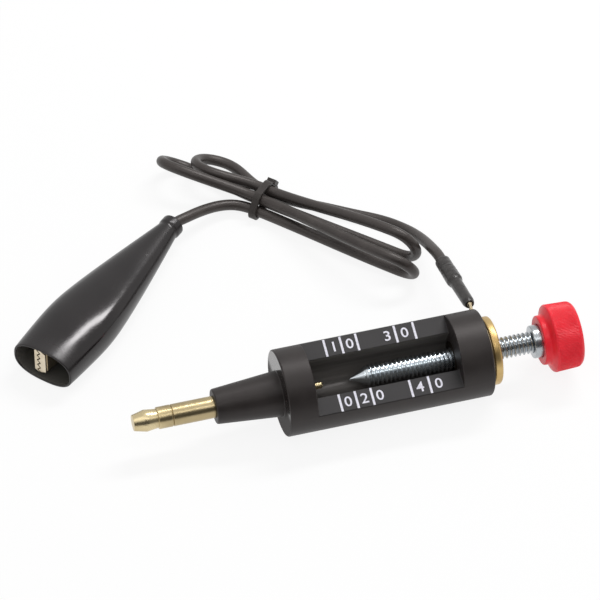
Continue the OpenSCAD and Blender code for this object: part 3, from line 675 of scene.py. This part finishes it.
def softenedCopy(node, name, body, paint, edge):
    # a merged copy of the CAD node with smooth faces and, where an edge width is given, softened edges
    build = bmesh.new()
    build.from_mesh(nodes[node].data)
    bmesh.ops.remove_doubles(build, verts=build.verts, dist=softening["weld"])
    flat = math.radians(softening["flatWithin"])
    bmesh.ops.dissolve_limit(build, angle_limit=flat, verts=build.verts, edges=build.edges)
    build.verts.index_update()
    mesh = bpy.data.meshes.new(name)
    mesh.from_pydata([v.co[:] for v in build.verts], [], [[v.index for v in f.verts] for f in build.faces])
    build.free()
    mesh.materials.append(paints[paint])
    piece = shadedPiece(name, mesh, softening["sharpFrom"])
    if edge:
        bevel = piece.modifiers.new("softEdge", "BEVEL")
        bevel.width = edge * mm
        bevel.segments = softening["segments"]
        bevel.limit_method = "ANGLE"
        bevel.angle_limit = math.radians(softening["sharpFrom"])
        # large faces lead the shading, so that long facets show no streaks
        piece.modifiers.new("evenShading", "WEIGHTED_NORMAL").keep_sharp = True
    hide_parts(node)
    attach(piece, body)
    return piece


# CAD node, name, body, paint and edge width
softenedCopy("housing", "bodyMoulding", "tester", "body", 0.22)
softenedCopy("terminal_pin", "plugTerminal", "tester", "brass", 0.08)
softenedCopy("end_bush", "brassBush", "tester", "satin", 0.0)
softenedCopy("ring_terminal", "ringTerminal", "tester", "dull", 0.08)
tiePiece = softenedCopy("cable_tie", "cableTie", "tester", "tie", 0.08)
fixedJaw = softenedCopy("fixed_jaw", "fixedJaw", "tester", "nickel", 0.0)
movingJaw = softenedCopy("moving_jaw", "movingJaw", "jaw", "nickel", 0.0)
# CAD nodes that stay as they are, and their paint
keptNodes = {
    "fixed_electrode": "brass",
    "jaw_rivet": "nickel",
    "terminal_core": "copper",
    "clip_core": "copper",
}
for node, paint in keptNodes.items():
    nodes[node].material_slots[0].material = paints[paint]
print("CAD pieces dressed")


# adjusting screw with a true right-hand thread
screw = {
    "tip": 20.6,
    "tipRadius": 0.2,
    "pointLength": 4.2,
    "pitch": 1.27,
    "radius": 3.175,
    "depth": 0.72,
    # share of a pitch and share of the depth
    "thread": ((0.00, 0.0), (0.06, 0.0), (0.22, 0.45), (0.40, 0.94), (0.44, 1.0),
               (0.56, 1.0), (0.60, 0.94), (0.78, 0.45), (0.94, 0.0)),
    "headFrom": 74.2,
    "headLength": 6.35,
    "headRadius": 4.75,
    "headEdge": 0.35,
    "insideHead": 0.3,
    "spareTurns": 3,             # run on past the head's face and are cut off inside it
    "columns": 72,
    "weld": 2e-6,                # in metres
}


def makeScrew():
    # rows follow the thread: place along X is the row's own place plus one pitch for each turn, and the
    # radius rises and falls once in a pitch; the point is a cone that cuts the first threads down, and the
    # far end is closed inside the head
    thread = np.array(screw["thread"])
    turns = int((screw["headFrom"] - screw["tip"]) / screw["pitch"]) + screw["spareTurns"]
    s = (np.arange(-1, turns)[:, None] + thread[None, :, 0]).reshape(-1, 1)
    lift = np.tile(thread[:, 1], turns + 1)[:, None]
    angle = np.linspace(0, 2 * np.pi, screw["columns"] + 1)[None, :]
    end = screw["headFrom"] + screw["insideHead"]
    x = np.clip(screw["tip"] + screw["pitch"] * (s + angle / (2 * np.pi)), screw["tip"], end)
    core = screw["radius"] - screw["depth"]
    past = x - screw["tip"]
    cone = screw["tipRadius"] + (core - screw["tipRadius"]) * past / screw["pointLength"]
    r = np.where((past <= 0) | (x >= end), 0.0, np.minimum(core + screw["depth"] * lift, cone))
    a, b, h = screw["headFrom"], screw["headFrom"] + screw["headLength"], screw["headRadius"]
    head = revolve(rounded([(a, 0), (a, h), (b, h), (b, 0)], screw["headEdge"]), screw["columns"])
    grids = [(aroundAxis(x, r, angle), False, False), (head, True, False)]
    piece = meshPiece("adjustingScrew", grids, sharpAngle=40, weld=screw["weld"])
    piece.data.materials.append(paints["zinc"])
    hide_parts("adjusting_screw")
    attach(piece, "screw")


makeScrew()


# ribbed knob
knob = {
    "hub": 76.5,
    "hubRadius": 7.15,
    "hubEnd": 78.3,
    "recessRadius": 4.8,
    "recessEnd": 80.6,
    "rim": 79.4,
    "rimRadius": 9.8,
    "rimEnd": 86.5,
    "end": 87.5,
    "endRadius": 9.5,
    "endBevel": 0.8,
    "endMiddle": 3.0,
    "frontEdge": 0.55,
    "frontGuide": 1.5,           # the two guides only set how the rim's edges bend
    "backEdge": 0.5,
    "backGuide": 1.0,
    "edgeSteps": 6,
    "sideFrom": 80.1,
    "sideTo": 85.9,
    "sideRows": 12,
    "ribs": 144,
    "ribDepth": 0.10,
    "ribPower": 1.5,
    "ribColumns": 6,
    "ribsBeyond": 8.65,          # radius past which the ribs start
    "ribFade": 0.5,
    "ribsEnd": 86.75,
}


def makeKnob():
    # a turned profile whose rim radius is drawn in by a raised cosine of the angle, once for each rib
    hub, rim, rimEnd, end = knob["hub"], knob["rim"], knob["rimEnd"], knob["end"]
    wide, narrow, recess = knob["rimRadius"], knob["endRadius"], knob["recessRadius"]
    # the bottom of the recess keeps its square corner, clear of the screw's head
    bottom = knob["recessEnd"]
    front = [(bottom, recess), (hub, recess), (hub, knob["hubRadius"]), (knob["hubEnd"], knob["hubRadius"]),
             (rim, wide), (rim + knob["frontGuide"], wide)]
    back = [(rimEnd - knob["backGuide"], narrow), (rimEnd, narrow), (end, narrow - knob["endBevel"]),
            (end, knob["endMiddle"]), (end, 0)]
    x = np.linspace(knob["sideFrom"], knob["sideTo"], knob["sideRows"])
    side = np.stack([x, wide + (narrow - wide) * (x - rim) / (rimEnd - rim)], -1)
    profile = np.vstack([[(bottom, 0)], rounded(front, knob["frontEdge"], knob["edgeSteps"])[:-1],
                         side, rounded(back, knob["backEdge"], knob["edgeSteps"])[1:]])

    def ripple(x, r, angle):
        starts = np.clip((x - rim) / knob["ribFade"], 0, 1)
        stops = np.clip((knob["ribsEnd"] - x) / knob["ribFade"], 0, 1)
        groove = (0.5 - 0.5 * np.cos(knob["ribs"] * angle)) ** knob["ribPower"]
        return -knob["ribDepth"] * starts * stops * (r > knob["ribsBeyond"]) * groove

    grid = revolve(profile, knob["ribs"] * knob["ribColumns"], ripple)
    piece = meshPiece("ribbedKnob", [(grid, True, False)], sharpAngle=50)
    piece.data.materials.append(paints["knob"])
    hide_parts("knob")
    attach(piece, "knob")


makeKnob()
print("screw and knob made")


# shrink sleeve on the lead terminal, with places along it from the tongue's end
sleeve = {
    # place and radius along the outside, from the lip to the lead
    "outline": ((-0.4, 1.02), (-0.4, 1.35), (0.9, 1.74), (11.3, 1.85), (12.4, 2.35), (18.4, 2.29),
                (19.0, 2.19), (19.5, 2.25), (23.3, 2.22), (23.3, 1.68)),
    # place and radius along the bore, from the lead back to the lip
    "bore": ((9.9, 1.68), (9.9, 1.4), (-0.06, 1.4), (-0.06, 1.02)),
    "edge": 0.45,
    "edgeSteps": 4,
    "rowGap": 0.35,
    "columns": 40,
    # depth, waves round, waves along and phase of each set of creases
    "creases": ((0.05, 3, 2.3, 0.0), (0.035, 5, -3.7, 1.3), (0.03, 2, 6.1, 0.0)),
    "swell": (1.1, 0.7),         # waves along and phase by which the first set comes and goes
    "creaseRange": (-0.12, 0.02),
    "creasesBeyond": 1.78,       # radius past which the creases start
    "creasesFrom": 10.9,
    "creaseRamp": 1.5,
    "leastCreased": 0.25,
}


def makeSleeve():
    # radius along the sleeve from its outline, plus small creases that turn round it as they go along
    outline = rounded(sleeve["outline"], sleeve["edge"], sleeve["edgeSteps"])
    dense = [outline[:1]]
    for a, b in zip(outline[:-1], outline[1:]):
        count = max(int(np.linalg.norm(b - a) / sleeve["rowGap"]), 1)
        dense.append(a + (b - a) * (np.arange(1, count + 1) / count)[:, None])
    outer = np.vstack(dense)
    profile = np.vstack([outer, sleeve["bore"]])
    angle = np.linspace(0, 2 * np.pi, sleeve["columns"], endpoint=False)[None, :]
    u, r = profile[:, :1], profile[:, 1:]
    isOuter = (np.arange(len(profile)) < len(outer))[:, None] * (r > sleeve["creasesBeyond"])
    first, *others = (depth * np.sin(around * angle + along * u + phase)
                      for depth, around, along, phase in sleeve["creases"])
    crease = first * np.sin(sleeve["swell"][0] * u + sleeve["swell"][1]) + sum(others)
    onGrip = np.clip((u - sleeve["creasesFrom"]) / sleeve["creaseRamp"], sleeve["leastCreased"], 1)
    r = r + isOuter * onGrip * np.clip(crease, *sleeve["creaseRange"])
    heading = sleeveHeading()
    side = np.cross(heading, [0, 0, 1.0])
    side /= np.linalg.norm(side)
    other = np.cross(heading, side)
    ring = (r * np.cos(angle))[..., None] * side + (r * np.sin(angle))[..., None] * other
    grid = tongueEnd() + u[..., None] * heading + ring
    piece = meshPiece("shrinkSleeve", [(grid, True, True)], sharpAngle=50)
    piece.data.materials.append(paints["sleeve"])
    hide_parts("terminal_sleeve")
    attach(piece, "tester")
    return piece


sleevePiece = makeSleeve()


# clip boot, with places along it from its mouth
boot = {
    "length": 68,
    "wall": 1.0,
    "lip": 0.7,
    "mouth": (19.6, 12.4),       # width and height
    "bulge": (21.4, 13.8),
    "bulgeAt": 20,
    "taper": 1.25,
    "shoulder": 5,
    "shoulderPlaces": 9,
    "neck": 6.3,
    "neckAt": 64.8,
    "collar": 6.9,
    "collarRise": 0.7,
    "collarEdge": 0.45,
    "bore": 3.4,
    "boreFrom": 60,
    "insideTo": 57,
    "bulgePower": 2.5,           # powers of the section's superellipse
    "neckPower": 2.0,
    "outerRows": 90,
    "innerRows": 60,
    "lipRows": 9,
    "columns": 112,
    "skinShare": 0.4,            # U at the end of the skin
}


def makeBoot():
    # superellipse rings: half width and half height swell from the mouth to the widest place, then taper to
    # the neck, each the mean over a short stretch so that the shoulder is round; the rows go out along the
    # skin, over the collar, back through the bore and the inside, and round the lip
    neckAt, bulgeAt, length = boot["neckAt"], boot["bulgeAt"], boot["length"]
    neck, collarRadius, boreRadius = (boot[k] / 2 for k in ("neck", "collar", "bore"))

    def pointed(u, k):
        mouth, bulge = boot["mouth"][k], boot["bulge"][k]
        swell = mouth + (bulge - mouth) * np.sin(np.pi / 2 * np.clip(u / bulgeAt, 0, 1))
        share = np.clip((u - bulgeAt) / (neckAt - bulgeAt), 0, 1) ** boot["taper"]
        return np.where(u < bulgeAt, swell, bulge - (bulge - boot["neck"]) * share) / 2

    def half(u, k):
        reach = boot["shoulder"] * np.clip(np.minimum(u, neckAt - u) / (2 * boot["shoulder"]), 0, 1)
        places = np.linspace(-1, 1, boot["shoulderPlaces"])
        return np.mean([pointed(u + reach * d, k) for d in places], axis=0)

    lip = boot["lip"] / 2
    u = lip + (neckAt - lip) * np.linspace(0, 1, boot["outerRows"])
    outer = np.stack([u, half(u, 0), half(u, 1)], -1)
    corners = [(neckAt, neck), (neckAt + boot["collarRise"], collarRadius),
               (length, collarRadius), (length, boreRadius)]
    rim = rounded(corners, boot["collarEdge"])[1:]
    collar = np.stack([rim[:, 0], rim[:, 1], rim[:, 1]], -1)
    bore = np.array([[boot["boreFrom"], boreRadius, boreRadius]])
    v = lip + (boot["insideTo"] - lip) * np.linspace(1, 0, boot["innerRows"])
    wall = boot["lip"] + (boot["wall"] - boot["lip"]) * np.clip(v / bulgeAt, 0, 1)
    inner = np.stack([v, half(v, 0) - wall, half(v, 1) - wall], -1)
    a = np.linspace(0, np.pi, boot["lipRows"])[1:-1]
    width, height = (half(np.array(lip), k) - lip for k in (0, 1))
    edge = np.stack([lip - lip * np.sin(a), width - lip * np.cos(a), height - lip * np.cos(a)], -1)
    rows = np.vstack([outer, collar, bore, inner, edge])
    angle = np.linspace(0, 2 * np.pi, boot["columns"], endpoint=False)[None, :]
    # the section is fullest near the bulge and round at the neck
    along = np.clip((rows[:, :1] - bulgeAt) / (neckAt - bulgeAt), 0, 1)
    fall = (boot["bulgePower"] - boot["neckPower"]) * along ** 2 * (3 - 2 * along)
    power = 2 / (boot["bulgePower"] - fall)
    across = rows[:, 1:2] * np.sign(np.cos(angle)) * np.abs(np.cos(angle)) ** power
    up = rows[:, 2:3] * np.sign(np.sin(angle)) * np.abs(np.sin(angle)) ** power
    local = np.stack(np.broadcast_arrays(rows[:, :1], across, up), -1)
    skin = boot["skinShare"] * np.r_[outer[:, 0], collar[:, 0]] / length
    share = np.r_[skin, np.ones(len(bore) + len(inner)), np.zeros(len(edge))]
    piece = meshPiece("clipBoot", [(fromClip(local), True, True)], sharpAngle=60, lengthwise=share)
    piece.data.materials.append(paints["boot"])
    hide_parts("clip_boot")
    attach(piece, "tester")
    return piece


bootPiece = makeBoot()


# torsion spring on the jaws' rivet
spring = {
    "wire": 0.8,
    "coilRadius": 1.85,
    "pitch": 1.35,
    "turns": 2,
    "fixedLeg": (11, 3.1),       # end of the leg from the pivot, along and across the clip
    "movingLeg": (11, -6.9),
    "bendHalf": 1.6,
    "coilRows": 90,
    "legRows": 14,
    "columns": 10,
}


def makeSpring():
    # a straight leg, a coil that sinks one pitch in each turn, and a second leg, all tangent to each other
    r = spring["coilRadius"]
    legs = [np.array(spring[k]) for k in ("fixedLeg", "movingLeg")]
    headings = [math.atan2(leg[1], leg[0]) for leg in legs]
    tangents = [math.acos(r / np.linalg.norm(leg)) for leg in legs]
    start = headings[0] + tangents[0]
    stop = headings[1] - tangents[1] + 2 * np.pi * (spring["turns"] + 1)
    rise = spring["pitch"] * (stop - start) / (2 * np.pi)
    t = np.linspace(0, 1, spring["coilRows"])
    a = start + (stop - start) * t
    coil = np.stack([r * np.cos(a), r * np.sin(a), rise * (0.5 - t)], -1)
    q = np.linspace(0, 1, spring["legRows"], endpoint=False)[:, None]
    first = np.array([*legs[0], rise / 2]) * (1 - q) + coil[0] * q
    last = np.array([*legs[1], -rise / 2]) * (1 - q[::-1]) + coil[-1] * q[::-1]
    pivot = np.array([clip["pivotAt"], clip["pivotAcross"], 0])
    path = fromClip(np.vstack([first, coil, last]) + pivot)
    wire = closedTube(path, spring["wire"] / 2, spring["columns"])
    piece = meshPiece("jawSpring", [(wire, True, False)], sharpAngle=60)
    piece.data.materials.append(paints["zinc"])
    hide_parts("jaw_spring")
    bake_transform(piece)
    return piece


springPiece = makeSpring()
print("sleeve, boot and spring made")


# printed scale: ticks shared by both flats, figures between them
scale = {
    "ticks": (15.1, 19.8, 24.4, 35.7, 41.2),
    "tickWidth": 0.66,
    "tickLength": 5.2,
    "middle": 8.46,
    "rear": (("1", 17.6), ("0", 22.2), ("3", 33.2), ("0", 38.3)),
    "front": (("0", 17.35), ("2", 22.1), ("0", 26.6), ("4", 38.3), ("0", 43.8)),
    "figureHeight": 3.0,
    "figureWiden": 1.10,
    "thickness": 0.02,
    # for a figure as it is first drawn, at size 1
    "bold": 0.010,
    "drawnDepth": 0.01,
    "curveSteps": 6,
}


def onFlat(along, across, height):
    # place along the tester, across the flat towards the rear, and above the flat
    lean = math.radians(tester["windowLean"])
    along, across = np.asarray(along, float), np.asarray(across, float)
    above = tester["flatHeight"] + np.asarray(height, float)
    y = across * math.cos(lean) - above * math.sin(lean)
    z = tester["axisHeight"] + across * math.sin(lean) + above * math.cos(lean)
    return np.stack(np.broadcast_arrays(tester["faceX"] + along, y, z), -1)


def makeTicks():
    # each tick is a thin closed bar: a ring of four corners at the flat and one above it, each drawn in to
    # its own middle
    w, h = scale["tickWidth"] / 2, scale["tickLength"] / 2
    corner = np.array([[-w, -h], [w, -h], [w, h], [-w, h]])
    size = np.array([0, 1, 1, 0])[:, None, None]
    height = np.array([0, 0, 1, 1])[:, None] * scale["thickness"]
    ring = corner[None] * size
    grids = []
    for side in (1, -1):
        for tick in scale["ticks"]:
            bar = onFlat(tick + ring[..., 0], side * scale["middle"] + ring[..., 1], height)
            grids.append((bar, True, False))
    piece = meshPiece("scaleTicks", grids)
    piece.data.materials.append(paints["ink"])
    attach(piece, "tester")


def makeFigure(name, text, along, across):
    # a figure with a little depth, scaled to its height, whose two faces lie on the flat and just above it
    data = bpy.data.curves.new(name, "FONT")
    data.body, data.align_x, data.align_y = text, "CENTER", "CENTER"
    data.size = 1.0
    data.extrude = scale["drawnDepth"]
    data.offset = scale["bold"]
    data.resolution_u = scale["curveSteps"]
    letter = bpy.data.objects.new(name, data)
    scene.collection.objects.link(letter)
    bpy.context.view_layer.update()
    mesh = bpy.data.meshes.new_from_object(letter.evaluated_get(bpy.context.evaluated_depsgraph_get()))
    bpy.data.objects.remove(letter)
    flat = np.empty(len(mesh.vertices) * 3, np.float32)
    mesh.vertices.foreach_get("co", flat)
    flat = flat.reshape(-1, 3)
    low, high = flat.min(0), flat.max(0)
    size = scale["figureHeight"] / (high[1] - low[1])
    local = (flat - (low + high) / 2) * size * [scale["figureWiden"], 1, 1]
    height = np.where(flat[:, 2] > 0, scale["thickness"], 0)
    placed = onFlat(along + local[:, 0], across + local[:, 1], height) * mm
    mesh.vertices.foreach_set("co", placed.astype(np.float32).ravel())
    mesh.materials.clear()
    mesh.materials.append(paints["ink"])
    mesh.update()
    piece = bpy.data.objects.new(name, mesh)
    scene.collection.objects.link(piece)
    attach(piece, "tester")


makeTicks()
for row, across in (("rear", scale["middle"]), ("front", -scale["middle"])):
    for k, (text, along) in enumerate(scale[row]):
        makeFigure(f"{row}Figure{k}", text, along, across)
print("scale printed")


# floor, world and lamps, with lengths in metres
studio = {
    "floor": (0.93, 0.93, 0.93, 1),
    "floorHalf": 3.0,
    "floorDrop": 0.00005,
    "floorGlow": 0.88,
    "worldLight": 0.47,
    "backdrop": 0.80,
    "dimSide": (-0.10, -0.93, 0.35),     # heading of the dim side, and the cosines over which it fades in
    "dimFrom": 0.55,
    "dimTo": 0.90,
    "dimBy": 0.91,
    "aim": (-0.005, 0.045, 0.0),
    # name, place, size, roll and power
    "lamps": (("keyLamp", (0.365, 0.300, 0.738), (0.13, 0.54), -45, 4.2),
              ("frontLamp", (0.15, -0.42, 0.79), (0.30, 0.14), 0, 0.45),
              ("fillLamp", (-0.35, -0.30, 0.95), (0.80, 0.80), 0, 1.6)),
}


def makeFloor():
    # white where it is looked at, with a share of its own shading so that the shadow stays
    h, z = studio["floorHalf"], -studio["floorDrop"]
    mesh = bpy.data.meshes.new("floor")
    mesh.from_pydata([(-h, -h, z), (h, -h, z), (h, h, z), (-h, h, z)], [], [[0, 1, 2, 3]])
    floor = bpy.data.objects.new("floor", mesh)
    scene.collection.objects.link(floor)
    paint = Paint("paleFloor", {"Base Color": studio["floor"], "Roughness": 0.9, "Specular IOR Level": 0.0})
    shaded = Wire(paint, paint.shader.outputs[0])
    white = paint.node("ShaderNodeEmission", sockets={"Color": (1, 1, 1, 1), "Strength": 1.0})
    glow = paint.seen()[1] * studio["floorGlow"]
    surface = paint.node("ShaderNodeMixShader", sockets={0: glow, 1: shaded, 2: white})
    mesh.materials.append(paint.cover(surface))


def makeRoom():
    # white room whose front side is dim, so that metal shows a dark band as well as a bright one
    room = Paint("studio", {"Color": (1, 1, 1, 1)}, "worlds", "Background")
    camera, seen = room.seen()
    x, y, z = room.split(room.place())
    front = x * studio["dimSide"][0] + y * studio["dimSide"][1] + z * studio["dimSide"][2]
    dim = room.ease(front, studio["dimFrom"], studio["dimTo"]) * studio["dimBy"]
    glow = camera + (1 - camera) * studio["backdrop"] * (1 - dim)
    scene.world = room.feed(Strength=seen * glow + (1 - seen) * studio["worldLight"])


def makeLamp(name, place, size, roll, power):
    data = bpy.data.lights.new(name, "AREA")
    data.shape = "RECTANGLE"
    data.size, data.size_y = size
    data.energy = power
    lamp = bpy.data.objects.new(name, data)
    lamp.location = place
    aim = (Vector(studio["aim"]) - Vector(place)).to_track_quat("-Z", "Y")
    lamp.rotation_euler = (aim @ Quaternion((0, 0, 1), math.radians(roll))).to_euler()
    scene.collection.objects.link(lamp)


makeFloor()
makeRoom()
for lamp in studio["lamps"]:
    makeLamp(*lamp)
scene.view_settings.view_transform = "Standard"
print("studio set")
